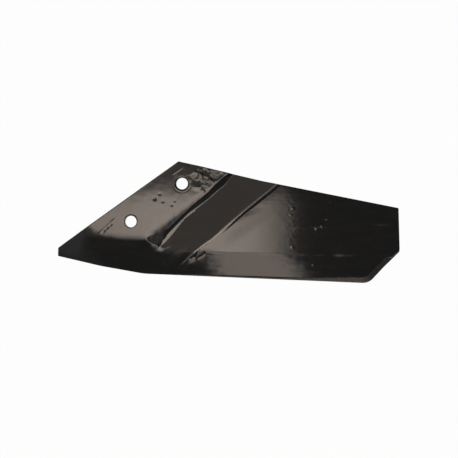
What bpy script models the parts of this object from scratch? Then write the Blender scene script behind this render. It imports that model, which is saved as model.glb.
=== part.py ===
# Forged plough share: a one-piece steel blade with two bolt holes by its landside edge.
# X runs along the cutting edge towards the wing, Y up the share and Z out of its face.
# The origin is on the flat back face, halfway between the two bolt holes.
import math

import bmesh
import bpy
from mathutils import Matrix, Vector

# Sizes are in metres and angles in degrees.
# Heights are measured up from the cutting edge, and places along X from the origin.

# Bolt holes
BOLT_SPACING = 0.0765
BOLT_LINE_ANGLE = 39.0
BOLT_HOLE_DIAMETER = 0.0140
BOLT_HOLE_CHAMFER = 0.0010
BOLT_CENTRE_HEIGHT = 0.0862

# Landside edge, from the blunt tip up to the crown, which is the highest corner
LANDSIDE_ANGLE = 38.0
LANDSIDE_FROM_BOLTS = 0.0248
TIP_FROM_BOLTS = 0.1281
CROWN_FROM_BOLTS = 0.0502
TIP_HEIGHT = 0.0099

# Mouldboard joint, which falls from the crown to the wing with a shallow step across the band
JOINT_HEAD_LENGTH = 0.0292
JOINT_HEAD_ANGLE = 9.9
JOINT_STEP_LENGTH = 0.0726
JOINT_STEP_ANGLE = 11.1
JOINT_ANGLE = 8.8
JOINT_STEP_RADIUS = 0.0800

# Wing end, heel cut and nose
WING_REACH = 0.2936
WING_LEAN = 0.0035
WING_FOOT_HEIGHT = 0.0394
HEEL_REACH = 0.2593
HEEL_RADIUS = 0.0170
HEEL_HOLLOW = 0.0008
HEEL_HOLLOW_RADIUS = 0.0340
EDGE_START = -0.0125
EDGE_START_RADIUS = 0.0800
NOSE_BELLY = 0.0014
NOSE_BELLY_RADIUS = 0.1600
CORNER_RADIUS = 0.0012
BACK_EDGE_ROUND = 0.0006

# Thicknesses, from the back face
PAD_THICKNESS = 0.0110
WING_THICKNESS = 0.0122
RIM_THICKNESS = 0.0124
WING_JOINT_THICKNESS = 0.0112
RIDGE_EDGE_THICKNESS = 0.0040
HEEL_EDGE_THICKNESS = 0.0063
GROUND_EDGE_THICKNESS = 0.0032
GROUND_HEEL_THICKNESS = 0.0094

# Forged diagonal band: a step down from the pad, a narrow land along its foot, then a ramp that
# rises to a second land, which ends in a small step at the wing's face
BAND_ANGLE = 44.3
BAND_FOOT_REACH = 0.0529
BAND_WIDTH_AT_EDGE = 0.0379
BAND_WIDTH_AT_JOINT = 0.0434
STEP_DEPTH_AT_EDGE = 0.0016
STEP_DEPTH_AT_JOINT = 0.0040
STEP_WIDTH = 0.0066
STEP_RIM_RADIUS = 0.0015
STEP_FOOT_RADIUS = 0.0040
FOOT_LAND_AT_EDGE = 0.0080
FOOT_LAND_AT_JOINT = 0.0014
RIM_LAND = 0.0017

# Bevels of the cutting edge and the nose
WING_BEVEL_AT_RIDGE = 0.0300
WING_BEVEL_AT_HEEL = 0.0330
GRIND_ANGLE = 42.0
NOSE_SLOPE = 0.205
RIDGE_CREASE_HEIGHT = 0.0262
FOOT_CREASE_HEIGHT = 0.0415
NOSE_CREASE_REACH = -0.0600
NOSE_CREASE_HEIGHT = 0.0432
NOSE_CREASE_FLARE = 0.22

# How finely curves and twisted faces are divided
ARC_STEPS = 8
LOFT_STEPS = 16
FACE_STEPS = 6
HOLE_SIDES = 64

# How far cutters pass the blank and each other, and the metal that they take off its thickest face
OVERRUN = 0.0200
EDGE_CLEARANCE = 0.0050
FOOT_OVERLAP = 0.0050
RIDGE_OVERLAP = 0.0010
GRIND_OVERLAP = 0.0100
BLANK_ALLOWANCE = 0.0010

EDGE_Y = -BOLT_CENTRE_HEIGHT
THICKEST = max(PAD_THICKNESS, WING_THICKNESS, RIM_THICKNESS, WING_JOINT_THICKNESS)
BLANK_THICKNESS = THICKEST + BLANK_ALLOWANCE
CUTTER_TOP = BLANK_THICKNESS + OVERRUN


def at(reach, height):
    """A point of the outline from its place along X and its height above the cutting edge."""
    return Vector((reach, height - BOLT_CENTRE_HEIGHT))


def arc_corner(before, corner, after, radius):
    """The points of a rounded corner. The radius gives way where a side is too short for it."""
    to_before = (before - corner).normalized()
    to_after = (after - corner).normalized()
    half_turn = (math.pi - to_before.angle(to_after)) / 2
    room = 0.45 * min((before - corner).length, (after - corner).length)
    setback = min(radius * math.tan(half_turn), room)
    if setback < 1e-6:
        return [corner]
    arc_radius = setback / math.tan(half_turn)
    centre = corner + (to_before + to_after).normalized() * arc_radius / math.cos(half_turn)
    start = corner + to_before * setback - centre
    side = math.copysign(1.0, to_before.cross(to_after))
    sweep = -side * 2 * half_turn
    return [centre + Matrix.Rotation(sweep * i / ARC_STEPS, 2) @ start for i in range(ARC_STEPS + 1)]


def rounded(corners, closed):
    """The points of an outline or a profile given as (point, radius) corners."""
    points = []
    for i, (corner, radius) in enumerate(corners):
        if radius == 0 or (not closed and i in (0, len(corners) - 1)):
            points.append(corner)
            continue
        before = corners[i - 1][0]
        after = corners[(i + 1) % len(corners)][0]
        points += arc_corner(before, corner, after, radius)
    return points


def along_landside(distance):
    """A point of the landside edge, from its distance up the edge past the bolt centre."""
    angle = math.radians(LANDSIDE_ANGLE)
    direction = Vector((math.cos(angle), math.sin(angle)))
    outward = Vector((-direction.y, direction.x))
    return outward * LANDSIDE_FROM_BOLTS + direction * distance


def tip():
    """The upper and the lower corner of the blunt point."""
    upper = along_landside(-TIP_FROM_BOLTS)
    return upper, upper - Vector((0.0, TIP_HEIGHT))


def falling(start, length, angle):
    """The point that lies further along X by length, on a line that falls at the angle."""
    return start + Vector((length, -length * math.tan(math.radians(angle))))


def joint_corners():
    """The mouldboard joint's corners: crown, both ends of the step and the wing's top."""
    crown = along_landside(CROWN_FROM_BOLTS)
    step_start = falling(crown, JOINT_HEAD_LENGTH, JOINT_HEAD_ANGLE)
    step_end = falling(step_start, JOINT_STEP_LENGTH, JOINT_STEP_ANGLE)
    wing_top = falling(step_end, WING_REACH - WING_LEAN - step_end.x, JOINT_ANGLE)
    return crown, step_start, step_end, wing_top


def bowed(start, end, amount):
    """The middle of a side, moved to the left of its run by the amount."""
    run = (end - start).normalized()
    return (start + end) / 2 + Vector((-run.y, run.x)) * amount


def outline_corners():
    """The share's outline, anticlockwise from the lower corner of the blunt point."""
    tip_upper, tip_lower = tip()
    crown, step_start, step_end, wing_top = joint_corners()
    edge_start = at(EDGE_START, 0.0)
    heel = at(HEEL_REACH, 0.0)
    wing_foot = at(WING_REACH, WING_FOOT_HEIGHT)
    return [
        (tip_lower, CORNER_RADIUS),
        (bowed(tip_lower, edge_start, -NOSE_BELLY), NOSE_BELLY_RADIUS),
        (edge_start, EDGE_START_RADIUS),
        (heel, HEEL_RADIUS),
        (bowed(heel, wing_foot, HEEL_HOLLOW), HEEL_HOLLOW_RADIUS),
        (wing_foot, CORNER_RADIUS),
        (wing_top, CORNER_RADIUS),
        (step_end, JOINT_STEP_RADIUS),
        (step_start, JOINT_STEP_RADIUS),
        (crown, CORNER_RADIUS),
        (tip_upper, CORNER_RADIUS),
    ]


def divided(start, end):
    """Points from start up to, but not at, end. They let a twisted face bend evenly."""
    return [start.lerp(end, i / FACE_STEPS) for i in range(FACE_STEPS)]


def make_collection(name):
    collection = bpy.data.collections.new(name)
    bpy.context.scene.collection.children.link(collection)
    return collection


def black_paint():
    """Glossy near-black paint over forged steel."""
    material = bpy.data.materials.new("black_paint")
    material.use_nodes = True
    shader = material.node_tree.nodes["Principled BSDF"]
    shader.inputs["Base Color"].default_value = (0.012, 0.011, 0.010, 1.0)
    shader.inputs["Metallic"].default_value = 0.0
    shader.inputs["Roughness"].default_value = 0.22
    return material


def bolt_places():
    angle = math.radians(BOLT_LINE_ANGLE)
    half = Vector((math.cos(angle), math.sin(angle))) * BOLT_SPACING / 2
    return {"lower": -half, "upper": half}


def circle(centre, radius):
    spoke = Vector((radius, 0.0))
    return [centre + Matrix.Rotation(math.tau * i / HOLE_SIDES, 2) @ spoke for i in range(HOLE_SIDES)]


def add_spline(curve, points):
    spline = curve.splines.new("POLY")
    spline.points.add(len(points) - 1)
    for spline_point, point in zip(spline.points, points):
        spline_point.co = (point.x, point.y, 0.0, 1.0)
    spline.use_cyclic_u = True


def add_blank(collection):
    """The flat blank at full thickness, with its bolt holes and its rounded back edges."""
    curve = bpy.data.curves.new("blank_outline", "CURVE")
    curve.dimensions = "2D"
    curve.fill_mode = "BOTH"
    curve.extrude = BLANK_THICKNESS / 2
    add_spline(curve, rounded(outline_corners(), closed=True))
    for place in bolt_places().values():
        add_spline(curve, circle(place, BOLT_HOLE_DIAMETER / 2))
    guide = bpy.data.objects.new("blank_outline", curve)
    guide.location.z = BLANK_THICKNESS / 2
    collection.objects.link(guide)
    graph = bpy.context.evaluated_depsgraph_get()
    mesh = bpy.data.meshes.new_from_object(guide.evaluated_get(graph))
    bm = bmesh.new()
    bm.from_mesh(mesh)
    bmesh.ops.remove_doubles(bm, verts=bm.verts, dist=1e-6)
    bmesh.ops.dissolve_limit(bm, angle_limit=math.radians(0.1), verts=bm.verts, edges=bm.edges)
    bm.to_mesh(mesh)
    bm.free()
    body = bpy.data.objects.new("plough_share", mesh)
    body.matrix_world = guide.matrix_world
    collection.objects.link(body)
    bpy.data.objects.remove(guide)
    rounding = body.modifiers.new("back_edges", "BEVEL")
    rounding.width = BACK_EDGE_ROUND
    rounding.segments = 2
    rounding.use_clamp_overlap = False
    rounding.limit_method = "ANGLE"
    rounding.angle_limit = math.radians(60)
    return body


def add_loft(name, sections, collection):
    """A closed body through sections with the same number of points, and ends across them."""
    bm = bmesh.new()
    rows = []
    for start, end in zip(sections, sections[1:]):
        for i in range(LOFT_STEPS):
            rows.append([a.lerp(b, i / LOFT_STEPS) for a, b in zip(start, end)])
    rows.append(sections[-1])
    rings = [[bm.verts.new(point) for point in row] for row in rows]
    for ring, following in zip(rings, rings[1:]):
        for i in range(len(ring)):
            j = (i + 1) % len(ring)
            bm.faces.new((ring[i], ring[j], following[j], following[i]))
    bm.faces.new(rings[0])
    bm.faces.new(rings[-1])
    bmesh.ops.recalc_face_normals(bm, faces=bm.faces)
    bmesh.ops.triangulate(bm, faces=bm.faces)
    mesh = bpy.data.meshes.new(name)
    bm.to_mesh(mesh)
    bm.free()
    loft = bpy.data.objects.new(name, mesh)
    collection.objects.link(loft)
    return loft


def move_to(obj, collection):
    obj.users_collection[0].objects.unlink(obj)
    collection.objects.link(obj)


def cut(body, cutter):
    """Takes the cutter's space away from the body. Both are closed, as this solver needs."""
    cutter.hide_render = True
    cutter.display_type = "WIRE"
    boolean = body.modifiers.new("cut_" + cutter.name, "BOOLEAN")
    boolean.operation = "DIFFERENCE"
    boolean.solver = "MANIFOLD"
    boolean.object = cutter


def band_directions():
    """Unit vectors along the diagonal band, up towards the joint, and across it to the wing."""
    angle = math.radians(BAND_ANGLE)
    along = Vector((math.cos(angle), math.sin(angle), 0.0))
    across = Vector((math.sin(angle), -math.cos(angle), 0.0))
    return along, across


def band_run():
    """How far along the band's foot line the cutting edge and the mouldboard joint lie."""
    along, _ = band_directions()
    edge_run = EDGE_Y / along.y
    foot = Vector((BAND_FOOT_REACH, 0.0))
    _, step_start, step_end, _ = joint_corners()
    joint = step_end - step_start
    joint_run = joint.cross(step_start - foot) / joint.cross(along.to_2d())
    return edge_run, joint_run


def along_band(run, edge_value, joint_value):
    """A size of the band at one place along it, from its values at the two ends."""
    edge_run, joint_run = band_run()
    share = (run - edge_run) / (joint_run - edge_run)
    return edge_value + (joint_value - edge_value) * share


def band_point(run, width, height):
    along, across = band_directions()
    foot = Vector((BAND_FOOT_REACH, 0.0, 0.0))
    return foot + along * run + across * width + Vector((0.0, 0.0, height))


def band_section(run):
    """The cut across the band: sloping wall, filleted foot, its land, the ramp and the rim's land."""
    foot = PAD_THICKNESS - along_band(run, STEP_DEPTH_AT_EDGE, STEP_DEPTH_AT_JOINT)
    width = along_band(run, BAND_WIDTH_AT_EDGE, BAND_WIDTH_AT_JOINT)
    start = -STEP_WIDTH - STEP_RIM_RADIUS
    foot_land = Vector((along_band(run, FOOT_LAND_AT_EDGE, FOOT_LAND_AT_JOINT), foot))
    rim_land = Vector((width - RIM_LAND, RIM_THICKNESS))
    wall = [
        (Vector((start, PAD_THICKNESS)), 0),
        (Vector((-STEP_WIDTH, PAD_THICKNESS)), STEP_RIM_RADIUS),
        (Vector((0.0, foot)), STEP_FOOT_RADIUS),
        (foot_land, 0),
    ]
    points = rounded(wall, closed=False)[:-1] + divided(foot_land, rim_land)
    ends = [
        rim_land,
        Vector((width + OVERRUN, RIM_THICKNESS)),
        Vector((width + OVERRUN, CUTTER_TOP)),
        Vector((start, CUTTER_TOP)),
    ]
    return [band_point(run, point.x, point.y) for point in points + ends]


def cut_band(body, collection):
    edge_run, joint_run = band_run()
    sections = [band_section(edge_run - OVERRUN), band_section(joint_run + 2 * OVERRUN)]
    cut(body, add_loft("band_ramp", sections, collection))


def cut_pad(body, collection):
    """Lowers the landside face to the bolt pad's thickness, as far as the band's foot."""
    bpy.ops.mesh.primitive_cube_add(size=1.0)
    pad = bpy.context.object
    pad.name = "bolt_pad"
    move_to(pad, collection)
    length = 2 * (TIP_FROM_BOLTS + WING_REACH)
    thickness = CUTTER_TOP - PAD_THICKNESS
    pad.scale = (length, length, thickness)
    pad.rotation_euler.z = math.radians(BAND_ANGLE)
    pad.location = band_point(0.0, FOOT_OVERLAP - length / 2, PAD_THICKNESS + thickness / 2)
    cut(body, pad)


def foot_x(y):
    """Where the foot of the band's step lies at one height."""
    along, _ = band_directions()
    return BAND_FOOT_REACH + y * along.x / along.y


def ridge_x(y):
    """Where the line between the band's ramp and the wing lies at one height."""
    edge_run, joint_run = band_run()
    low = band_point(edge_run, BAND_WIDTH_AT_EDGE, 0.0)
    high = band_point(joint_run, BAND_WIDTH_AT_JOINT, 0.0)
    return low.x + (high.x - low.x) * (y - low.y) / (high.y - low.y)


def wing_profile(crease_height, edge_thickness):
    """(y, z) of the wing's face from above the joint, over the crease, past the cutting edge."""
    joint_y = max(corner.y for corner in joint_corners()) + OVERRUN
    crease_y = EDGE_Y + crease_height
    face_fall = (WING_THICKNESS - WING_JOINT_THICKNESS) / (joint_y - OVERRUN - crease_y)
    slope = (WING_THICKNESS - edge_thickness) / crease_height
    lower_y = EDGE_Y - EDGE_CLEARANCE
    joint = Vector((joint_y, WING_THICKNESS - face_fall * (joint_y - crease_y)))
    crease = Vector((crease_y, WING_THICKNESS))
    lower = Vector((lower_y, edge_thickness - slope * EDGE_CLEARANCE))
    ends = [lower, Vector((lower_y, CUTTER_TOP)), Vector((joint_y, CUTTER_TOP))]
    return [joint] + divided(crease, lower) + ends


def cut_wing(body, collection):
    """Shapes the wing's face and its cutting-edge bevel, which flattens towards the heel."""
    ridge = wing_profile(WING_BEVEL_AT_RIDGE, RIDGE_EDGE_THICKNESS)
    heel = wing_profile(WING_BEVEL_AT_HEEL, HEEL_EDGE_THICKNESS)
    sections = [
        [Vector((ridge_x(y), y, z)) for y, z in ridge],
        [Vector((WING_REACH + OVERRUN, y, z)) for y, z in heel],
    ]
    cut(body, add_loft("wing_face", sections, collection))


def nose_section(crease, slope, reach_at):
    """The nose bevel at one place: a sloping cut through the crease, past the edge below."""
    rise = CUTTER_TOP - crease.z
    upper_y = crease.y + rise / slope
    lower_y = EDGE_Y - EDGE_CLEARANCE
    lower_z = crease.z - slope * (crease.y - lower_y)
    upper = Vector((upper_y, CUTTER_TOP))
    lower = Vector((lower_y, lower_z))
    over_lower = Vector((lower_y, CUTTER_TOP))
    profile = [upper] + divided(crease.yz, lower) + [lower, over_lower]
    return [Vector((reach_at(y), y, z)) for y, z in profile]


def cut_nose(body, collection):
    """Bevels the nose from the point to the ridge, twisting as it passes below the band.

    It runs a little past the ridge, where it lies above the wing's bevel and cuts nothing more.
    """
    ridge_crease = Vector((0.0, EDGE_Y + RIDGE_CREASE_HEIGHT, RIM_THICKNESS))
    ridge_slope = (RIM_THICKNESS - RIDGE_EDGE_THICKNESS) / RIDGE_CREASE_HEIGHT
    foot_crease = Vector((0.0, EDGE_Y + FOOT_CREASE_HEIGHT, PAD_THICKNESS))
    nose_crease = Vector((0.0, EDGE_Y + NOSE_CREASE_HEIGHT, PAD_THICKNESS))
    beyond_tip = tip()[0].x - OVERRUN
    flare = (NOSE_CREASE_REACH - beyond_tip) * NOSE_CREASE_FLARE
    tip_crease = nose_crease + Vector((0.0, flare, 0.0))
    sections = [
        nose_section(ridge_crease, ridge_slope, lambda y: ridge_x(y) + RIDGE_OVERLAP),
        nose_section(foot_crease, NOSE_SLOPE, foot_x),
        nose_section(nose_crease, NOSE_SLOPE, lambda y: NOSE_CREASE_REACH),
        nose_section(tip_crease, NOSE_SLOPE, lambda y: beyond_tip),
    ]
    cut(body, add_loft("nose_bevel", sections, collection))


def add_grind(name, start, end, collection):
    """A wedge above a plane that rises inward from the line between two low points."""
    run = (end - start).normalized()
    inward = Vector((-run.y, run.x, 0.0)).normalized()
    uphill = inward + Vector((0.0, 0.0, math.tan(math.radians(GRIND_ANGLE))))
    ends = (start - run * GRIND_OVERLAP, end + run * GRIND_OVERLAP)
    sections = []
    for point in ends:
        outer = point - uphill * OVERRUN
        inner = point + uphill * OVERRUN
        over_outer = Vector((outer.x, outer.y, inner.z))
        sections.append([outer, inner, over_outer])
    return add_loft(name, sections, collection)


def cut_grinds(body, collection):
    """Grinds the lower arris of the wing: along the cutting edge and up the heel."""
    edge_start = Vector((EDGE_START, EDGE_Y, GROUND_EDGE_THICKNESS))
    heel = Vector((HEEL_REACH, EDGE_Y, GROUND_EDGE_THICKNESS))
    wing_foot = at(WING_REACH, WING_FOOT_HEIGHT)
    heel_top = Vector((wing_foot.x, wing_foot.y, GROUND_HEEL_THICKNESS))
    cut(body, add_grind("edge_grind", edge_start, heel, collection))
    cut(body, add_grind("heel_grind", heel, heel_top, collection))


def cut_hole_chamfers(body, collection):
    """Breaks the front edge of each bolt hole."""
    radius = BOLT_HOLE_DIAMETER / 2
    for name, place in bolt_places().items():
        bpy.ops.mesh.primitive_cone_add(
            vertices=HOLE_SIDES,
            radius1=radius - BOLT_HOLE_CHAMFER,
            radius2=radius + 2 * BOLT_HOLE_CHAMFER,
            depth=3 * BOLT_HOLE_CHAMFER,
        )
        chamfer = bpy.context.object
        chamfer.name = name + "_bolt_chamfer"
        chamfer.location = (place.x, place.y, PAD_THICKNESS - BOLT_HOLE_CHAMFER / 2)
        chamfer.rotation_euler.z = math.pi / HOLE_SIDES
        move_to(chamfer, collection)
        cut(body, chamfer)


def build():
    for leftover in list(bpy.data.objects):
        bpy.data.objects.remove(leftover)
    share = make_collection("plough_share")
    cutters = make_collection("cutters")
    body = add_blank(share)
    cut_pad(body, cutters)
    cut_hole_chamfers(body, cutters)
    cut_band(body, cutters)
    cut_wing(body, cutters)
    cut_nose(body, cutters)
    cut_grinds(body, cutters)
    body.data.materials.append(black_paint())
    body.data.shade_smooth()
    body.data.set_sharp_from_angle(angle=math.radians(25))


build()
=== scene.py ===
import math

import bmesh
import bpy
import numpy as np
from bmesh.types import BMEdge, BMFace, BMVert
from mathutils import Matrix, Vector, noise
from mathutils.bvhtree import BVHTree


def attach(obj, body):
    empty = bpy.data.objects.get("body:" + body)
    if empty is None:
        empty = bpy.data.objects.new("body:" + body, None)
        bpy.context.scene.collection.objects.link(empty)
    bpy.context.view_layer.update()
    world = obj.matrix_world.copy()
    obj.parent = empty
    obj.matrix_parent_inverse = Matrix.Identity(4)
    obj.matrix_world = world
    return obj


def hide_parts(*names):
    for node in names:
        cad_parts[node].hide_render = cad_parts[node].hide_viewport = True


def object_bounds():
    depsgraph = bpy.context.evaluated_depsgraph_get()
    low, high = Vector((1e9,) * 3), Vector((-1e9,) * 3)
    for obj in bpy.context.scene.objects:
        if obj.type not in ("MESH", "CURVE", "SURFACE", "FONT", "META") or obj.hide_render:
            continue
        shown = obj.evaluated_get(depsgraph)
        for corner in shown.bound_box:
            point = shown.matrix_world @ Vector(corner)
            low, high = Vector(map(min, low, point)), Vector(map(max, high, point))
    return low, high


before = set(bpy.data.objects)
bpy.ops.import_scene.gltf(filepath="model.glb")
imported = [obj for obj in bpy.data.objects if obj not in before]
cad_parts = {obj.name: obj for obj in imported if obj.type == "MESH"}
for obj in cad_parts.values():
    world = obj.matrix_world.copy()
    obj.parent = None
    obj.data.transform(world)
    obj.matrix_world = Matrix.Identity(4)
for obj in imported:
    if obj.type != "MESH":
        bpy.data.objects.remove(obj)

# A forged plough share, finished in gloss black paint. Lengths are in metres, apart
# from the face's own marks, whose places and sizes are in millimetres.
cadLow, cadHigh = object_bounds()
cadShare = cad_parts["plough_share"]
print("frame loaded:", [round(v * 1000, 1) for v in cadHigh - cadLow], "mm")


# Curves and strokes, all worked out for whole arrays of points

def rising(value, low, high):
    # 0 below low and 1 above high, smoothly between them
    t = np.clip((value - low) / (high - low), 0, 1)
    return t * t * (3 - 2 * t)


def falling(value, low, high):
    return 1 - rising(value, low, high)


def between(value, rise, fall):
    # 1 along a stretch, fading over a pair of places at either end of it
    return rising(value, *rise) * falling(value, *fall)


def bell(value, width):
    return np.exp(-(value / width) ** 2)


def softLower(first, second, rounding):
    # the lower of two heights, rounded over where they meet
    part = np.clip(0.5 + 0.5 * (second - first) / rounding, 0, 1)
    return second + (first - second) * part - rounding * part * (1 - part)


def lumps(x, y, size, layer):
    # smooth noise from about -0.5 to 0.5, with lumps of one size; each layer is another pattern
    return np.array([noise.noise((a / size, b / size, layer)) for a, b in zip(x, y)])


def patchy(x, y, middle, swing, size, layer):
    # a strength that varies from place to place
    return middle + swing * lumps(x, y, size, layer)


def alongLine(x, y, start, end):
    # how far along a line each point lies, from 0 to 1, and how far to its left
    dx, dy = end[0] - start[0], end[1] - start[1]
    length = math.hypot(dx, dy)
    part = ((x - start[0]) * dx + (y - start[1]) * dy) / length ** 2
    side = ((y - start[1]) * dx - (x - start[0]) * dy) / length
    return part, side


def stroke(x, y, start, end, width, ends=0.12):
    # a soft-edged stroke from start to end, whose ends fade over a share of its length
    part, side = alongLine(x, y, start, end)
    return bell(side, width) * rising(part, -ends, ends) * rising(1 - part, -ends, ends)


# The diagonal band, and how its hammered lines stray from the CAD's straight ones

band = {
    "angle": math.radians(44.3),
    "foot": 52.9,  # where its foot line crosses y = 0
    "flare": 0.031,  # how much wider it gets for each millimetre along
    "strayReach": 9,  # how far past the outer lines the straying dies out
    "strayUp": (-64, -53),  # the straying sets in between these heights up the share
    "rimUp": (-48, -40),  # the same for the pad's rim
}
upperHole, lowerHole = (29.8, 24.1), (-29.7, -24.1)
lineAcross = {"rim": -6.8, "foot": 0.0, "land": 3.6, "crest": 40.0, "step": 41.7}


def shifted(pairs, more):
    return tuple((place, shift + more) for place, shift in pairs)


crestStray = (
    (-64, 0.4), (-47, -0.8), (-30, -0.6), (-17, 0.6), (-6, 0.3), (9, -0.4), (17, -0.4),
    (33, -0.7), (48, -0.3), (61, 0.0), (72, 0.4), (78, 0.2),
)
# how far each line strays, as (place along the band, shift across it) pairs
strayLines = {
    "rim": (
        (-63, 3.0), (-57, 1.6), (-48, 2.4), (-35, 2.2), (-21, 2.4), (0, 2.2), (16, 2.8),
        (29, 1.8), (42, 1.4), (47, 2.4),
    ),
    "foot": (
        (-70, 5.7), (-64, 3.5), (-57, 0.8), (-49, -0.8), (-43, -1.3), (-29, -2.1), (-17, -2.7),
        (3, -0.5), (15, 0.1), (27, 0.1), (36, 0.7), (42, 0.1), (47, -1.3),
    ),
    "land": (
        (-65, 2.0), (-58, 1.0), (-51, -0.2), (-43, -1.2), (-37, -2.0), (-26, -3.2), (-12, -1.7),
        (5, -0.6), (17, 0.7), (28, 1.5), (37, 2.5), (49, 1.0),
    ),
    "crest": shifted(crestStray, -0.5),
    "step": shifted(crestStray, 0.8),
}


def bandPlace(x, y):
    # how far along the diagonal band each point is, and how far across it
    along = (x - band["foot"]) * math.cos(band["angle"]) + y * math.sin(band["angle"])
    across = (x - band["foot"]) * math.sin(band["angle"]) - y * math.cos(band["angle"])
    return along, across


def strayOf(line, along):
    return np.interp(along, *zip(*strayLines[line]))


def strayed(x, y):
    # where to read the CAD's height, so that its straight lines wander as the forged ones do
    along, across = bandPlace(x, y)
    shifts = {line: strayOf(line, along) for line in lineAcross}
    shifts["rim"] = shifts["rim"] * rising(y, *band["rimUp"])
    lines = [place + shifts[line] for line, place in lineAcross.items()]
    stops = [lines[0] - band["strayReach"], *lines, lines[-1] + band["strayReach"]]
    shiftAt = [0 * along, *shifts.values(), 0 * along]
    shift = 0 * along
    for i in range(len(stops) - 1):
        inside = (across >= stops[i]) & (across < stops[i + 1])
        part = np.clip((across - stops[i]) / (stops[i + 1] - stops[i]), 0, 1)
        shift = np.where(inside, shiftAt[i] + (shiftAt[i + 1] - shiftAt[i]) * part, shift)
    shift *= rising(y, *band["strayUp"])
    return x - shift * math.sin(band["angle"]), y + shift * math.cos(band["angle"])


# Heights of the forged face, read from the CAD solid

heightMap = {
    "pitch": 0.0005,
    "margin": 14,  # cells round the outline
    "rayStart": 0.01,  # above the face
    "rimTop": 0.0025,  # what lies lower belongs to the back's rounded rim
    "rimGap": 0.3,  # millimetres that the nose's own face keeps from the pad's rim
    "crisp": 0.7,  # how many cells the sharpest forged lines are softened by
    "worn": 13.0,  # the same for the hammered shoulders
    "leastWeight": 1e-6,  # far from any known height
}


def softened(heights, known, cells, axes=(0, 1)):
    # blurs the known heights only, so the outline doesn't pull them down
    reach = int(math.ceil(cells * 3))
    weights = np.exp(-0.5 * (np.arange(-reach, reach + 1) / cells) ** 2)
    weights /= weights.sum()

    def blur(grid):
        for axis in axes:
            grid = np.apply_along_axis(lambda row: np.convolve(row, weights, "same"), axis, grid)
        return grid

    weight = blur(known.astype(float))
    return blur(np.where(known, heights, 0)) / np.maximum(weight, heightMap["leastWeight"])


def readHeights(tree):
    pitch, margin = heightMap["pitch"], heightMap["margin"]
    columns = int((cadHigh.x - cadLow.x) / pitch) + 2 * margin
    rows = int((cadHigh.y - cadLow.y) / pitch) + 2 * margin
    left, bottom = cadLow.x - margin * pitch, cadLow.y - margin * pitch
    heights = np.zeros((rows, columns))
    down, start = Vector((0, 0, -1)), cadHigh.z + heightMap["rayStart"]
    for row in range(rows):
        y = bottom + row * pitch
        for column in range(columns):
            hit = tree.ray_cast(Vector((left + column * pitch, y, start)), down)[0]
            if hit is not None:
                heights[row, column] = hit.z
    known = heights > heightMap["rimTop"]
    crisp = softened(heights, known, heightMap["crisp"])
    # the nose's own face, worn as if the diagonal band weren't beside it
    cellX, cellY = np.meshgrid(left + pitch * np.arange(columns), bottom + pitch * np.arange(rows))
    _, across = bandPlace(cellX * 1000, cellY * 1000)
    ownFace = known & (across < lineAcross["rim"] - heightMap["rimGap"])
    fields = {
        "crisp": crisp,
        "worn": softened(heights, known, heightMap["worn"]),
        "nose": softened(heights, ownFace, heightMap["worn"]),
        "smeared": softened(crisp, known, heightMap["worn"], (1,)),
    }

    def read(kind, x, y):
        # the height at each point, from the four cells round it, all of them inside the grid
        grid = fields[kind]
        u = np.clip((x - left) / pitch, 0, columns - 1.001)
        v = np.clip((y - bottom) / pitch, 0, rows - 1.001)
        i, j = v.astype(int), u.astype(int)
        a, b = v - i, u - j
        low = grid[i, j] * (1 - b) + grid[i, j + 1] * b
        high = grid[i + 1, j] * (1 - b) + grid[i + 1, j + 1] * b
        return low * (1 - a) + high * a

    return read


# Where hammering and wear changed the CAD's form

corner = {  # the pad's lower corner by the band, hammered down to a slope
    "start": (-12.0, -43.1), "end": (24.1, -15.1),  # its upper edge
    "level": 11.0,  # height of the face there
    "slope": 0.17,
    "rimSlope": 0.10, "rimFrom": -5.6, "rimUp": (-34, -26),  # a flatter strip by the rim
    "pastFoot": 0.5,  # it climbs away past the wall's foot
    "lowSlope": 0.11, "lowFrom": -44,
    "unevenness": 0.05, "lumps": (5.6, 8.8),
    "sharp": 0.00008, "soft": 0.0010, "softUp": (-43, -36),  # how its edge is rounded
    "rough": 0.8, "roughDepth": (0.0001, 0.0006),
}
wing = {  # it lies nearly level with the band's crest at its lower end
    "step": 0.2, "stepAt": -56.2, "stepRise": 0.0094,
    "past": ((-0.4, 0.4), (0, 24)), "up": ((-57, -51), (-42, 0)),
}
nose = {  # its shoulder is hammered soft, up to the band's rim and across its lower end
    "up": ((-84, -66), (-26, -14)),
    "lowUp": (-52, -43),
    "start": -0.4, "full": 1.2,  # how far out from the rim it sets in and is complete
    "lowStart": -6.0, "lowFull": 5.0,  # what is added to both low down
    "wall": (1, 6),  # across the band, where the pad's wall ends
    "rounding": 0.0003,
    "drop": 1.5, "tipDrop": 4.8, "tip": (-95, -52),  # the shoulder lies lower than the CAD's crease
    "dropAcross": (-36, -9), "dropUp": (-84, -52),
}
bandEnds = {  # the band runs out softly into the cutting bevel
    "middleAcross": ((5, 12), (21, 31)), "middleUp": (-46, -36),
    "startAcross": ((-7, -5), (5, 12)), "startUp": (-58, -50),
    "up": (-81, -70),
    "crestAcross": ((28, 35), (42, 50)), "crestUp": (-68, -60),
}


def wornCorner(x, y):
    along, across = bandPlace(x, y)
    _, left = alongLine(x, y, corner["start"], corner["end"])
    byRim = np.maximum(across - corner["rimFrom"], 0) * rising(y, *corner["rimUp"])
    past = np.maximum(across - strayOf("foot", along), 0)
    level = corner["level"] + corner["slope"] * left + corner["rimSlope"] * byRim
    level += corner["pastFoot"] * past + corner["lowSlope"] * np.maximum(corner["lowFrom"] - y, 0)
    return level + corner["unevenness"] * lumps(x, y, *corner["lumps"])


def levelled(x, y):
    along, across = bandPlace(x, y)
    past = across - lineAcross["step"] - band["flare"] * along
    step = wing["step"] + wing["stepRise"] * (y - wing["stepAt"])
    return step * between(past, *wing["past"]) * between(y, *wing["up"])


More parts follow.
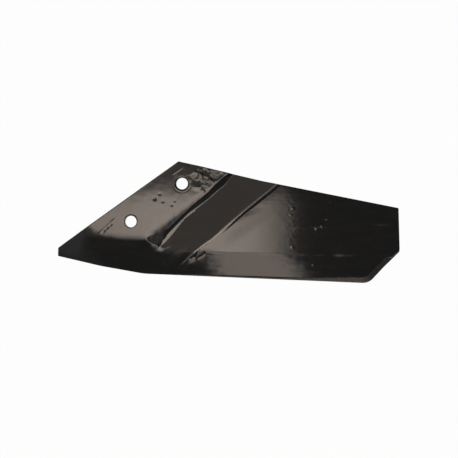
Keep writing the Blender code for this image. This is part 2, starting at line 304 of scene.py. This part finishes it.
def noseShoulder(x, y):
    along, across = bandPlace(x, y)
    rim = lineAcross["rim"] + strayOf("rim", along) * rising(y, *band["rimUp"])
    low = falling(y, *nose["lowUp"])
    start = nose["start"] + nose["lowStart"] * low
    full = nose["full"] + nose["lowFull"] * low
    return rising(rim - across, start, full) * between(y, *nose["up"])


def lowered(x, y):
    # how far down the nose its shoulder lies below the CAD's straight crease
    _, across = bandPlace(x, y)
    drop = nose["drop"] + nose["tipDrop"] * falling(x, *nose["tip"])
    return drop * falling(across, *nose["dropAcross"]) * rising(y, *nose["dropUp"])


def bandEnd(x, y):
    _, across = bandPlace(x, y)
    middle = between(across, *bandEnds["middleAcross"]) * falling(y, *bandEnds["middleUp"])
    start = between(across, *bandEnds["startAcross"]) * falling(y, *bandEnds["startUp"])
    return (1 - (1 - middle) * (1 - start)) * rising(y, *bandEnds["up"])


def crestEnd(x, y):
    _, across = bandPlace(x, y)
    return between(across, *bandEnds["crestAcross"]) * falling(y, *bandEnds["crestUp"])


def formedHeight(read, x, y):
    # the face's height before its small marks, and how rough the hammering left it
    mmX, mmY = x * 1000, y * 1000
    readX, readY = strayed(mmX, mmY)
    height = read("crisp", readX / 1000, readY / 1000)
    creaseY = y + lowered(mmX, mmY) / 1000
    ownFace = read("nose", x, creaseY)
    ownFace += (read("worn", x, creaseY) - ownFace) * falling(mmY, *nose["lowUp"])
    _, across = bandPlace(mmX, mmY)
    _, topOfNose = nose["up"]
    beside = falling(across, *nose["wall"]) * falling(mmY, *topOfNose)
    height += (softLower(height, ownFace, nose["rounding"]) - height) * beside
    height += (ownFace - height) * noseShoulder(mmX, mmY)
    height += (read("worn", x, y) - height) * bandEnd(mmX, mmY)
    height += (read("smeared", x, y) - height) * crestEnd(mmX, mmY)
    height += levelled(mmX, mmY) / 1000
    rounding = corner["sharp"] + corner["soft"] * rising(mmY, *corner["softUp"])
    hammered = softLower(height, wornCorner(mmX, mmY) / 1000, rounding)
    rough = corner["rough"] * rising(height - hammered, *corner["roughDepth"])
    return hammered, np.maximum(scalePatch(mmX, mmY), rough)


# The marks of forging, grinding and handling on the face, and the painted highlights on it

marks = {
    "sway": 0.040, "swayLumps": (34, 3.1),
    "hammer": 0.015, "hammerLumps": (8, 7.7),
    "quietHammer": 0.2, "quietFrom": (75, 105),  # the wing's face is smoother than the rest
    "pits": [  # x, y, radius and depth; a depth below 0 is a drop of paint
        (-1.9, 4.2, 1.5, 0.24), (3.8, 10.4, 1.2, 0.10), (7.8, 1.6, 1.5, 0.06),
        (18.7, -2.2, 1.3, 0.09), (22.1, 2.8, 1.0, 0.08), (16.2, -15.2, 1.1, 0.06),
        (22.8, -12.8, 1.1, 0.09), (46.1, -10.0, 1.2, 0.06), (163.7, 0.0, 1.1, -0.07),
        (165.0, -46.6, 1.1, -0.08), (191.5, -67.2, 1.1, -0.09), (205.3, -11.7, 1.2, -0.14),
        (199.7, -20.3, 1.3, -0.13), (193.2, -23.6, 1.4, -0.12), (223.6, -4.3, 1.1, -0.11),
        (209.2, 9.5, 1.3, -0.11), (161.6, -8.2, 1.0, -0.05), (9.7, -71.0, 1.6, 0.10),
        (15.9, -75.5, 1.5, -0.10), (-45.6, -69.7, 1.2, -0.09),
    ],
    "gouge": ((-63.0, -38.4), (-51.0, -26.8), 1.1, 0.2), "gougeDepth": 0.16,
    "gougePatches": (0.6, 2.0, 4.5, 9.3), "gougeMost": 1.4,
    "strokes": [  # height, start, end, width and how much of its length each end fades over
        (0.08, (-65.6, -38.0), (-48.8, -21.8), 0.7, 0.2),  # the gouge's raised lip
        (0.056, (18.6, 34.9), (30.2, 43.6), 0.7, 0.3),  # a short ridge by the crown
        (-0.30, (49.5, -63.4), (59.5, -56.6), 1.1, 0.12),  # a wrinkle where the band's crest ends
        (0.16, (51.0, -65.2), (59.5, -59.8), 1.1, 0.12),
        (-0.05, (61.0, -55.6), (90.0, -57.6), 0.8, 0.3),  # a faint fold beside it
        (0.05, (61.0, -58.0), (90.0, -60.0), 0.8, 0.3),
    ],
}
brushing = {  # long faint strokes of the grinder along the wing, plainest on the cutting bevel
    "height": 0.034,
    "stretch": 11, "lumps": (2.2, 3.9),
    "faint": 0.12, "bevelUp": (-56, -50), "from": (45, 70),
}
boltRings = {  # uneven rings round the upper bolt hole
    "height": 0.032, "patches": (0.7, 1.4, 9, 6.1),
    "ridge": 8.9, "ridgeWidth": 0.7,
    "groove": 10.4, "grooveWidth": 0.9, "grooveShare": 0.8,
}
scale = {  # rough forge scale between the upper bolt hole and the band
    "across": ((-38, -27), (-10.0, -6.5)), "along": ((4, 18), (50, 58)),
    "patchLumps": (13, 2.2), "patchFrom": (-0.32, 0.02),
    "height": 0.46,
    "stoneLumps": (5.8, 11.5), "stoneFloor": -0.08,
    "grain": 0.20, "grainLumps": (2.2, 4.4),
    "swell": 0.5, "swellLumps": (13, 5.7),
    "knob": (48.3, 20.2), "knobHeight": 0.16, "knobRadius": 2.4, "knobLength": 1.4,
}
freckles = {  # under the paint, down the wing and level along its middle
    "height": 0.012, "lumps": (2.4, 7.3),
    "strokes": (((160, 16), (166, -50), 4.5), ((163, -24.6), (206, -20), 3.5)),
}
highlightAndScuffMarks = {  # painted highlights along the band's crest and the wall's foot, and scuffs where the paint is rubbed thin and bright
    # the painted highlight along the band's crest, then the one along the wall's foot
    "crest": 0.7, "crestWidth": 0.65, "crestPlace": 0.4, "crestUp": (-76, -66),
    "foot": 0.16, "footWidth": 1.1, "footPlace": 1.4, "footUp": (-53, -46),
    "patches": (0.5, 1.6, 3, 5.5), "stretch": 4,
    "scuffs": [  # strength, start, end, width and fading ends, all along the wing
        (0.16, (90, -57.6), (230, -53.6), 0.9, 0.12),
        (0.18, (214, -54.6), (232, -54.2), 1.4, 0.4),
        (0.14, (160, -24.6), (200, -22.0), 1.4, 0.3),
    ],
    "lines": [  # the same, for a light line near the heel, and a painted highlight just inside the landside edge
        (0.08, (264, -15.7), (278, -15.2), 0.8, 0.4),
        # a painted highlight along the chamfer inside the landside edge
        (0.13, (-73.8, -28.1), (17, 42.5), 0.7, 0.04),
    ],
}
grinding = {  # the strip along the cutting edge and the heel that is ground bare
    "widths": ((10, 0), (50, 1.4), (150, 1.9), (187, 3.2), (222, 5.4), (250, 6.8), (262, 7.4)),
    "up": (-54.5, -52),
    "from": (150, 190),  # along the edge, where it turns into a flat of its own
    "flatFade": 0.0003, "rimFade": 0.0001,
    "bareFade": (-0.0002, 0.0004),
    "heel": (248, 264), "heelPaint": 0.7,  # the heel keeps some of its paint
}


def scalePatch(x, y):
    along, across = bandPlace(x, y)
    patch = between(across, *scale["across"]) * between(along, *scale["along"])
    return patch * rising(lumps(x, y, *scale["patchLumps"]), *scale["patchFrom"])


def scaleRelief(x, y):
    stones = np.maximum(lumps(x, y, *scale["stoneLumps"]), scale["stoneFloor"])
    stones += scale["grain"] * lumps(x, y, *scale["grainLumps"])
    stones += scale["swell"] * lumps(x, y, *scale["swellLumps"])
    knobX, knobY = scale["knob"]
    out = np.hypot((x - knobX) / scale["knobLength"], y - knobY)
    knob = scale["knobHeight"] * bell(out, scale["knobRadius"])
    return scale["height"] * scalePatch(x, y) * stones + knob


def ringRelief(x, y):
    out = np.hypot(x - upperHole[0], y - upperHole[1])
    uneven = patchy(x, y, *boltRings["patches"])
    ridge = bell(out - boltRings["ridge"], boltRings["ridgeWidth"])
    groove = bell(out - boltRings["groove"], boltRings["grooveWidth"])
    return boltRings["height"] * uneven * (ridge - boltRings["grooveShare"] * groove)


def brushedRelief(x, y):
    plain = brushing["faint"] + (1 - brushing["faint"]) * falling(y, *brushing["bevelUp"])
    streaks = lumps(x / brushing["stretch"], y, *brushing["lumps"])
    return brushing["height"] * plain * rising(x, *brushing["from"]) * streaks


def forgedMarks(x, y):
    relief = marks["sway"] * lumps(x, y, *marks["swayLumps"])
    struck = marks["quietHammer"] + (1 - marks["quietHammer"]) * falling(x, *marks["quietFrom"])
    relief += marks["hammer"] * struck * lumps(x, y, *marks["hammerLumps"])
    relief += brushedRelief(x, y) + ringRelief(x, y) + scaleRelief(x, y)
    for pitX, pitY, radius, depth in marks["pits"]:
        relief -= depth * bell(np.hypot(x - pitX, y - pitY), radius)
    broken = np.clip(patchy(x, y, *marks["gougePatches"]), 0, marks["gougeMost"])
    relief -= marks["gougeDepth"] * broken * stroke(x, y, *marks["gouge"])
    for height, *line in marks["strokes"]:
        relief += height * stroke(x, y, *line)
    place = sum(stroke(x, y, *line) for line in freckles["strokes"])
    return relief + freckles["height"] * place * lumps(x, y, *freckles["lumps"])


def highlightAndScuffLines(x, y):
    # a share of light paint colour: painted highlights along the crest and the foot, with scuffs and
    # light lines
    along, across = bandPlace(x, y)
    crest = lineAcross["crest"] + band["flare"] * along + highlightAndScuffMarks["crestPlace"]
    crest += strayOf("crest", along)
    foot = highlightAndScuffMarks["footPlace"] + strayOf("foot", along)
    crestHighlight = bell(across - crest, highlightAndScuffMarks["crestWidth"]) * rising(y, *highlightAndScuffMarks["crestUp"])
    footHighlight = bell(across - foot, highlightAndScuffMarks["footWidth"]) * rising(y, *highlightAndScuffMarks["footUp"])
    highlightsAndScuffs = highlightAndScuffMarks["crest"] * crestHighlight + highlightAndScuffMarks["foot"] * footHighlight
    uneven = np.clip(patchy(x / highlightAndScuffMarks["stretch"], y, *highlightAndScuffMarks["patches"]), 0, 1)
    for strength, *line in highlightAndScuffMarks["scuffs"]:
        highlightsAndScuffs += strength * uneven * stroke(x, y, *line)
    for strength, *line in highlightAndScuffMarks["lines"]:
        highlightsAndScuffs += strength * stroke(x, y, *line)
    return highlightsAndScuffs


def groundWidth(x, y):
    # how far in from the outline the cutting edge and the heel are ground
    return np.interp(x, *zip(*grinding["widths"])) * falling(y, *grinding["up"])


# The plate's mesh

plate = {
    "fillHeight": 0.002,  # the sides are upright here
    "weld": 1e-6,  # joins the CAD's own repeated points
    "merge": 4e-5,  # outline points closer than this are one
    "least": 1e-5,  # a hair's breadth, and the least that is divided by as a distance
    "leastWidth": 1e-4,  # the same for the ground strip's width
    "straight": math.radians(0.15),  # turn that the outline can lose
    "wallHeight": 0.001,  # of the wall that distances are measured to
    "rings": (0.00016, 0.00022, 0.00028, 0.00034),  # insets beside every edge
    "finePitch": 0.0008,
    "coarsePitch": 0.0013,
    "fineReach": 0.112,  # past this x the face is smooth
    "cutSnap": 2e-6,
    "edgeReach": 0.008,  # how far from the outline the edges' own shapes reach
    "marksFade": 0.0015,  # the marks fade out this close to an edge
    "edgeRadius": 0.0009,
    "groundEdgeRadius": 0.0003,
    "edgeThickness": (0.0070, 0.0095),  # from the thin ground edge to the thick forged one
    "backRound": 0.0006,
    "backSteps": 3,
    "smoothAngle": math.radians(42),
    "layers": ("highlightsAndScuffs", "ground", "scaled"),  # what the paint reads from the face
}


def ofKind(geometry, kind):
    return [g for g in geometry if isinstance(g, kind)]


def mergedCopy():
    bm = bmesh.new()
    bm.from_mesh(cadShare.data)
    bmesh.ops.remove_doubles(bm, verts=bm.verts, dist=plate["weld"])
    return bm


def turnAt(vert):
    # how much the outline turns at one of its points
    first, second = (e.other_vert(vert).co - vert.co for e in vert.link_edges)
    return math.pi - first.angle(second)


def filledOutline():
    # the CAD solid's own outline and bolt holes, as one flat sheet
    bm = mergedCopy()
    geometry = bm.verts[:] + bm.edges[:] + bm.faces[:]
    height = Vector((0, 0, plate["fillHeight"]))
    bmesh.ops.bisect_plane(bm, geom=geometry, plane_co=height, plane_no=(0, 0, 1), clear_outer=True)
    below = [v for v in bm.verts if v.co.z < plate["fillHeight"] - plate["least"]]
    bmesh.ops.delete(bm, geom=below, context="VERTS")
    bmesh.ops.delete(bm, geom=bm.faces[:], context="FACES_ONLY")
    bmesh.ops.remove_doubles(bm, verts=bm.verts, dist=plate["merge"])
    straight = [v for v in bm.verts if turnAt(v) < plate["straight"]]
    bmesh.ops.dissolve_verts(bm, verts=straight)
    bmesh.ops.triangle_fill(bm, edges=bm.edges[:], use_beauty=True, normal=(0, 0, 1))
    for face in bm.faces:
        if face.normal.z < 0:
            face.normal_flip()
    return bm


def rimTree(sheet):
    # a low wall along the outline and the holes, to measure distances to
    wall = sheet.copy()
    rim = [e for e in wall.edges if e.is_boundary]
    raised = ofKind(bmesh.ops.extrude_edge_only(wall, edges=rim)["geom"], BMVert)
    flat = [f for f in wall.faces if abs(f.normal.z) > 0.5]
    bmesh.ops.delete(wall, geom=flat, context="FACES_ONLY")
    bmesh.ops.translate(wall, verts=raised, vec=(0, 0, plate["wallHeight"]))
    tree = BVHTree.FromBMesh(wall)
    wall.free()
    return tree


def gridLines(low, high, pitch):
    count = int((high - low) / pitch)
    return [low + pitch * (i + 0.5) for i in range(count)]


def sweepCuts(bm, places, axis):
    # parallel cuts, each made only through the faces that still lie ahead of it
    ahead = bm.faces[:]
    for place in places:
        point, normal = Vector((0, 0, 0)), Vector((0, 0, 0))
        point[axis] = place
        normal[axis] = 1
        edges = {e for f in ahead for e in f.edges}
        verts = {v for f in ahead for v in f.verts}
        cut = bmesh.ops.bisect_plane(
            bm, geom=[*ahead, *edges, *verts], plane_co=point, plane_no=normal, dist=plate["cutSnap"]
        )
        ahead = [f for f in ofKind(cut["geom"], BMFace) if f.calc_center_bounds()[axis] > place]


def gridded(bm):
    # rings of faces beside each edge of the face, then a fine grid over it all
    ring = bm.faces.layers.int.new("ring")
    for width in plate["rings"]:
        inner = [f for f in bm.faces if f[ring] == 0]
        made = bmesh.ops.inset_region(
            bm, faces=inner, thickness=width, use_even_offset=True, use_boundary=True
        )
        for face in made["faces"]:
            face[ring] = 1
    # cuts through the bolt holes let the fill's own edges go, so that only the grid is left
    splits = sorted((upperHole[0] / 1000, lowerHole[0] / 1000))
    sweepCuts(bm, splits, 0)
    for low, high in zip([-1] + splits, splits + [1]):
        slab = [f for f in bm.faces if f[ring] == 0 and low < f.calc_center_median().x < high]
        bmesh.ops.dissolve_faces(bm, faces=slab, use_verts=False)
    fineEnd = plate["fineReach"]
    fine = gridLines(cadLow.x, fineEnd, plate["finePitch"])
    sweepCuts(bm, fine + gridLines(fineEnd, cadHigh.x, plate["coarsePitch"]), 0)
    sweepCuts(bm, gridLines(cadLow.y, cadHigh.y, plate["finePitch"]), 1)


def inwardAt(vert):
    # the way in from the outline at one of its points, long enough to keep offsets even,
    # though never more than twice as long
    ways = []
    for edge in vert.link_edges:
        if edge.is_boundary:
            face = edge.link_faces[0]
            run = (edge.verts[1].co - edge.verts[0].co).normalized()
            way = Vector((-run.y, run.x, 0))
            ways.append(way if way.dot(face.calc_center_median() - vert.co) > 0 else -way)
    mean = (ways[0] + ways[1]).normalized()
    return mean / max(mean.dot(ways[0]), 0.5)


def edgeDistances(tree, places):
    # how far each point lies from the outline or a hole, and the nearest point of it
    edge = np.full(len(places), plate["edgeReach"])
    rim = places.copy()
    level = plate["fillHeight"] + plate["wallHeight"] / 2
    for i, (x, y) in enumerate(places):
        spot, _, _, distance = tree.find_nearest(Vector((x, y, level)), plate["edgeReach"])
        if spot is not None:
            edge[i] = distance
            rim[i] = spot.x, spot.y
    return edge, rim


def raiseFace(bm, tree, read):
    places = np.array([v.co[:2] for v in bm.verts])
    x, y = places[:, 0], places[:, 1]
    mmX, mmY = x * 1000, y * 1000
    height, rough = formedHeight(read, x, y)
    edge, rim = edgeDistances(tree, places)
    # the ground strip runs straight from the rim to the face, at its own width
    width = groundWidth(mmX, mmY) / 1000
    inside = places + (places - rim) * ((width - edge) / np.maximum(edge, plate["least"]))[:, None]
    rimHeight = read("crisp", *rim.T)
    climb = (read("crisp", *inside.T) - rimHeight) / np.maximum(width, plate["leastWidth"])
    flat = rising(width - edge, 0, grinding["flatFade"]) * rising(edge, 0, grinding["rimFade"])
    flat *= rising(mmX, *grinding["from"])
    height += (rimHeight + climb * edge - height) * flat
    # the arris is rounded over, and the marks fade out beside it
    thick = rising(height, *plate["edgeThickness"])
    radius = plate["groundEdgeRadius"] + (plate["edgeRadius"] - plate["groundEdgeRadius"]) * thick
    inward = np.clip(edge, 0, radius)
    drop = radius - np.sqrt(np.maximum(radius ** 2 - (radius - inward) ** 2, 0))
    height += forgedMarks(mmX, mmY) / 1000 * rising(edge, 0, plate["marksFade"])
    height = np.minimum(height, cadHigh.z) - drop
    for vert, z in zip(bm.verts, height):
        vert.co.z = z
    bare = rising(width - edge, *grinding["bareFade"])
    bare *= 1 - grinding["heelPaint"] * rising(mmX, *grinding["heel"])
    # the painted highlights and scuffs, the bare ground strip and the rough scale are stored on the
    # face for the paint
    layers = [bm.verts.layers.float[name] for name in plate["layers"]]
    for vert, *shares in zip(bm.verts, highlightAndScuffLines(mmX, mmY), bare, rough):
        for layer, value in zip(layers, shares):
            vert[layer] = value


def closeBack(bm, inward):
    # walls straight down, a rounded rim, then the back face
    rim = [e for e in bm.edges if e.is_boundary]
    starts = {v for e in rim for v in e.verts}
    way = {v: inward[v] for v in starts}
    foot = {v: v.co.copy() for v in starts}
    for i in range(plate["backSteps"] + 1):
        angle = math.pi / 2 * i / plate["backSteps"]
        made = bmesh.ops.extrude_edge_only(bm, edges=rim)["geom"]
        rim = ofKind(made, BMEdge)
        fresh = ofKind(made, BMVert)
        older = {}
        for vert in fresh:
            above = [e.other_vert(vert) for e in vert.link_edges if e.other_vert(vert) in way]
            older[vert] = above[0]
        way = {v: way[o] for v, o in older.items()}
        foot = {v: foot[o] for v, o in older.items()}
        inset = plate["backRound"] * (1 - math.cos(angle))
        for vert in fresh:
            vert.co = foot[vert] + way[vert] * inset
            vert.co.z = plate["backRound"] * (1 - math.sin(angle))
    bmesh.ops.triangle_fill(bm, edges=rim, use_beauty=True, normal=(0, 0, -1))
    bmesh.ops.recalc_face_normals(bm, faces=bm.faces)


def buildPlate():
    cad = mergedCopy()
    read = readHeights(BVHTree.FromBMesh(cad))
    cad.free()
    print("heights read")
    sheet = filledOutline()
    tree = rimTree(sheet)
    gridded(sheet)
    print("face gridded:", len(sheet.faces), "faces")
    for name in plate["layers"]:
        sheet.verts.layers.float.new(name)
    inward = {v: inwardAt(v) for v in sheet.verts if v.is_boundary}
    raiseFace(sheet, tree, read)
    closeBack(sheet, inward)
    mesh = bpy.data.meshes.new("forgedShare")
    sheet.to_mesh(mesh)
    openEdges = sum(1 for e in sheet.edges if not e.is_manifold)
    sheet.free()
    piece = bpy.data.objects.new("forgedShare", mesh)
    bpy.context.scene.collection.objects.link(piece)
    mesh.shade_smooth()
    mesh.set_sharp_from_angle(angle=plate["smoothAngle"])
    mesh.calc_loop_triangles()
    print("plate made:", len(mesh.loop_triangles), "triangles,", openEdges, "open edges")
    return piece


# Materials

class Wire:
    # one socket of a node tree, on which Python's operators add Math nodes
    def __init__(self, graph, socket):
        self.graph = graph
        self.socket = socket

    def maths(self, operation, *others):
        node = self.graph.node("ShaderNodeMath", {"operation": operation}, (self, *others))
        return Wire(self.graph, node.outputs[0])

    def __add__(self, other):
        return self.maths("ADD", other)

    def __sub__(self, other):
        return self.maths("SUBTRACT", other)

    def __rsub__(self, other):
        node = self.graph.node("ShaderNodeMath", {"operation": "SUBTRACT"}, (other, self))
        return Wire(self.graph, node.outputs[0])

    def __mul__(self, other):
        return self.maths("MULTIPLY", other)

    def __truediv__(self, other):
        return self.maths("DIVIDE", other)

    __radd__ = __add__
    __rmul__ = __mul__

    def above(self, edge, width):
        # 0 below the edge and 1 above it, softly over the width
        settings = {"interpolation_type": "SMOOTHSTEP"}
        inputs = {"Value": self, "From Min": edge - width, "From Max": edge + width}
        return Wire(self.graph, self.graph.node("ShaderNodeMapRange", settings, inputs).outputs[0])

    def below(self, edge, width):
        return 1 - self.above(edge, width)


class Graph:
    def __init__(self, tree):
        self.tree = tree

    def node(self, kind, settings=None, inputs=()):
        made = self.tree.nodes.new(kind)
        for name, value in (settings or {}).items():
            setattr(made, name, value)
        pairs = inputs.items() if isinstance(inputs, dict) else enumerate(inputs)
        for key, value in pairs:
            if isinstance(value, Wire):
                self.tree.links.new(value.socket, made.inputs[key])
            elif value is not None:
                made.inputs[key].default_value = value
        return made

    def wire(self, kind, output, settings=None, inputs=()):
        return Wire(self, self.node(kind, settings, inputs).outputs[output])

    def mix(self, factor, first, second):
        settings = {"data_type": "RGBA"}
        made = self.node("ShaderNodeMix", settings, {0: factor, 6: first, 7: second})
        return Wire(self, made.outputs[2])


paint = {
    "black": (0.0065, 0.0062, 0.0060, 1),
    "dusty": (0.0125, 0.0120, 0.0110, 1),
    # the light colour of the painted highlights and of the scuffed paint
    "highlightsAndScuffs": (0.30, 0.28, 0.26, 1),
    "ground": (0.095, 0.086, 0.077, 1),
    "stretch": (0.18, 1, 1),  # draws the clouds out along the share
    "clouds": (160, 4),  # scale and detail of each noise
    "grain": (420, 3),
    "peel": (150, 0),
    "dustClouds": (0.56, 0.16), "dustGrain": (0.5, 0.2),  # where the dust shows
    "gloss": 0.065,  # roughness of the clean paint
    "haze": 0.012, "hazeClouds": (0.5, 0.25),
    "groundRoughness": 0.55, "groundLeast": 0.55, "groundGrain": (0.42, 0.25),
    "scaledRoughness": 0.10,
    # the painted highlights and scuffs also shine a little like bare metal
    "highlightsAndScuffsMetal": 0.3,
    "peelStrength": 0.5, "peelHeight": 0.000015,
    "refraction": 1.5,
}


def blackPaint():
    material = bpy.data.materials.new("blackPaint")
    material.use_nodes = True
    graph = Graph(material.node_tree)
    shader = material.node_tree.nodes["Principled BSDF"]
    place = graph.wire("ShaderNodeTexCoord", "Object")
    stretched = (place, paint["stretch"])
    drawnOut = graph.wire("ShaderNodeVectorMath", 0, {"operation": "MULTIPLY"}, stretched)

    def noiseAt(vector, size, detail):
        inputs = {"Vector": vector, "Scale": size, "Detail": detail}
        return graph.wire("ShaderNodeTexNoise", "Fac", None, inputs)

    cloudy = noiseAt(drawnOut, *paint["clouds"])
    grain = noiseAt(place, *paint["grain"])
    peel = noiseAt(place, *paint["peel"])
    dust = cloudy.above(*paint["dustClouds"]) * grain.above(*paint["dustGrain"])
    # the painted highlights and scuffs, the ground strip and the scale, read from the face
    highlightsAndScuffs, ground, scaled = (
        graph.wire("ShaderNodeAttribute", "Fac", {"attribute_name": name}) for name in plate["layers"]
    )
    speckles = grain.above(*paint["groundGrain"]) * (1 - paint["groundLeast"])
    ground = ground * (paint["groundLeast"] + speckles)
    # painted highlights and scuffs lighten the dusty black
    colour = graph.mix(highlightsAndScuffs, graph.mix(dust, paint["black"], paint["dusty"]), paint["highlightsAndScuffs"])
    colour = graph.mix(ground, colour, paint["ground"])
    metal = highlightsAndScuffs * (0.5 + grain) * paint["highlightsAndScuffsMetal"]
    roughness = paint["gloss"] + cloudy.above(*paint["hazeClouds"]) * paint["haze"]
    roughness = roughness + ground * paint["groundRoughness"] + scaled * paint["scaledRoughness"]
    bumpInputs = {"Strength": paint["peelStrength"], "Distance": paint["peelHeight"], "Height": peel}
    bump = graph.node("ShaderNodeBump", None, bumpInputs)
    links = material.node_tree.links
    links.new(colour.socket, shader.inputs["Base Color"])
    links.new(metal.socket, shader.inputs["Metallic"])
    links.new(roughness.socket, shader.inputs["Roughness"])
    links.new(bump.outputs[0], shader.inputs["Normal"])
    shader.inputs["IOR"].default_value = paint["refraction"]
    return material


# Floor, light and camera

studio = {
    "roll": math.radians(2.43),  # how far the picture is turned against the part
    "floorReach": 4.0,
    "floorGap": 0.0001,  # the floor lies this far below the plate's back
    "floorColour": (0.80, 0.80, 0.80, 1),
    "floorRoughness": 0.9,
    "plainWhite": 0.975,  # how much of the floor's look is plain white
}

# a panel's edges are slopes: how far a direction leans to the picture's right or top for its height
softbox = {
    "right": 0.068, "rightWidth": 0.010,
    "top": 0.044, "topWidth": 0.012, "topRise": 0.14, "riseFrom": -0.05,
    "bottom": -0.17, "bottomWidth": 0.13,
    "left": -0.185, "leftWidth": 0.015, "leftSlant": 0.15,
    "strength": 5.0,
    "colour": (1.0, 0.855, 0.745, 1),
    "fade": (0.04, 0.04), "faded": 0.50,  # it is weaker to the right
    "dimLeft": 0.19, "dimFrom": (-0.105, 0.035),
}

lowPanel = {
    "left": -0.050, "leftWidth": 0.012,
    "right": 0.061, "rightWidth": 0.012,
    "top": -0.24, "topWidth": 0.04,
    "bottom": -0.95, "bottomWidth": 0.1,
    "strength": 3.0,
}

# round the lamps it is dim overhead, and paler to the upper left and low down by the viewer
room = {
    "dim": 0.16,
    "leftOf": (-0.02, 0.10), "upFrom": (-0.12, 0.22), "upperLeft": 0.56, "warmth": 0.75,
    "farLeftOf": (-0.29, 0.08), "farLeft": 0.3,
    "horizon": (0.32, 0.16), "nearHorizon": 0.05,
    "viewerSide": (0.80, 0.14), "nearViewer": 0.15,
    "lowest": 0.03,  # keeps the slopes finite at the horizon
}
white = (1, 1, 1, 1)


def lightStudio():
    world = bpy.data.worlds.new("studio")
    bpy.context.scene.world = world
    world.use_nodes = True
    graph = Graph(world.node_tree)
    background = world.node_tree.nodes["Background"]
    toward = graph.wire("ShaderNodeTexCoord", "Generated")
    right = Vector((math.cos(studio["roll"]), math.sin(studio["roll"]), 0))
    up = Vector((-right.y, right.x, 0))

    def part(axis):
        return graph.wire("ShaderNodeVectorMath", "Value", {"operation": "DOT_PRODUCT"}, (toward, axis))

    height = part((0, 0, 1)).maths("MAXIMUM", room["lowest"])
    across = part(tuple(right)) / height
    upward = part(tuple(up)) / height

    def panel(box, topRise=0, leftSlant=0):
        sideways = (across - leftSlant).above(box["left"], box["leftWidth"])
        sideways = sideways * across.below(box["right"], box["rightWidth"])
        lengthways = upward.above(box["bottom"], box["bottomWidth"])
        return sideways * lengthways * (upward - topRise).below(box["top"], box["topWidth"])

    leftSlant = (0 - upward).maths("MAXIMUM", 0) * softbox["leftSlant"]
    topRise = (across - softbox["riseFrom"]).maths("MAXIMUM", 0) * softbox["topRise"]
    main = panel(softbox, topRise, leftSlant)
    low = panel(lowPanel)
    evenness = 1 - across.above(*softbox["fade"]) * (1 - softbox["faded"])
    evenness = evenness - across.below(*softbox["dimFrom"]) * softbox["dimLeft"]
    upperLeft = across.below(*room["leftOf"]) * upward.above(*room["upFrom"])
    farLeft = across.below(*room["farLeftOf"])
    nearHorizon = height.below(*room["horizon"])
    nearViewer = nearHorizon * part(tuple(-up)).above(*room["viewerSide"])
    strength = room["dim"] + upperLeft * room["upperLeft"] + farLeft * room["farLeft"]
    strength = strength + nearHorizon * room["nearHorizon"] + nearViewer * room["nearViewer"]
    strength = strength + main * evenness * softbox["strength"] + low * lowPanel["strength"]
    warm = (main + low + upperLeft * room["warmth"]).maths("MINIMUM", 1)
    colour = graph.mix(warm, white, softbox["colour"])
    # the camera itself sees plain white past the floor's end
    seen = graph.wire("ShaderNodeLightPath", "Is Camera Ray")
    colour = graph.mix(seen, colour, white)
    strength = strength + seen * (1 - strength)
    world.node_tree.links.new(colour.socket, background.inputs["Color"])
    world.node_tree.links.new(strength.socket, background.inputs["Strength"])


def layFloor():
    bm = bmesh.new()
    bmesh.ops.create_grid(bm, x_segments=1, y_segments=1, size=studio["floorReach"])
    bmesh.ops.translate(bm, verts=bm.verts, vec=(0, 0, -studio["floorGap"]))
    mesh = bpy.data.meshes.new("floor")
    bm.to_mesh(mesh)
    bm.free()
    floor = bpy.data.objects.new("floor", mesh)
    bpy.context.scene.collection.objects.link(floor)
    material = bpy.data.materials.new("paleFloor")
    material.use_nodes = True
    graph = Graph(material.node_tree)
    nodes, links = material.node_tree.nodes, material.node_tree.links
    shader = nodes["Principled BSDF"]
    shader.inputs["Base Color"].default_value = studio["floorColour"]
    shader.inputs["Roughness"].default_value = studio["floorRoughness"]
    shader.inputs["Specular IOR Level"].default_value = 0.0
    glow = graph.node("ShaderNodeEmission", None, {"Color": white, "Strength": 1.0})
    # plain white to the camera, also in reflections, with a little of the shadow left in it
    path = graph.node("ShaderNodeLightPath")
    camera, glossy, passing = (
        Wire(graph, path.outputs[name])
        for name in ("Is Camera Ray", "Is Glossy Ray", "Is Transmission Ray")
    )
    seen = camera.maths("MAXIMUM", glossy).maths("MAXIMUM", passing)
    mixed = graph.node("ShaderNodeMixShader", None, {0: seen * studio["plainWhite"]})
    links.new(shader.outputs[0], mixed.inputs[1])
    links.new(glow.outputs[0], mixed.inputs[2])
    links.new(mixed.outputs[0], nodes["Material Output"].inputs[0])
    mesh.materials.append(material)


viewpoint = {
    "height": 1.0,  # above the face
    "frameWidth": 0.5478,  # how much of the face's level the picture spans
    "centre": (0.0883, -0.0280, 0.0115),
    "sensor": 36.0,
    "clip": (0.01, 50),
}


def setCamera():
    data = bpy.data.cameras.new("camera")
    data.sensor_width = viewpoint["sensor"]
    data.lens = viewpoint["sensor"] * viewpoint["height"] / viewpoint["frameWidth"]
    data.clip_start, data.clip_end = viewpoint["clip"]
    eye = bpy.data.objects.new("camera", data)
    eye.location = Vector(viewpoint["centre"]) + Vector((0, 0, viewpoint["height"]))
    eye.rotation_euler = (0, 0, studio["roll"])
    bpy.context.scene.collection.objects.link(eye)
    bpy.context.scene.camera = eye


bpy.context.scene.view_settings.view_transform = "Standard"
piece = buildPlate()
piece.data.materials.append(blackPaint())
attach(piece, "root")
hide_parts("plough_share")
lightStudio()
layFloor()
setCamera()
print("stage set")
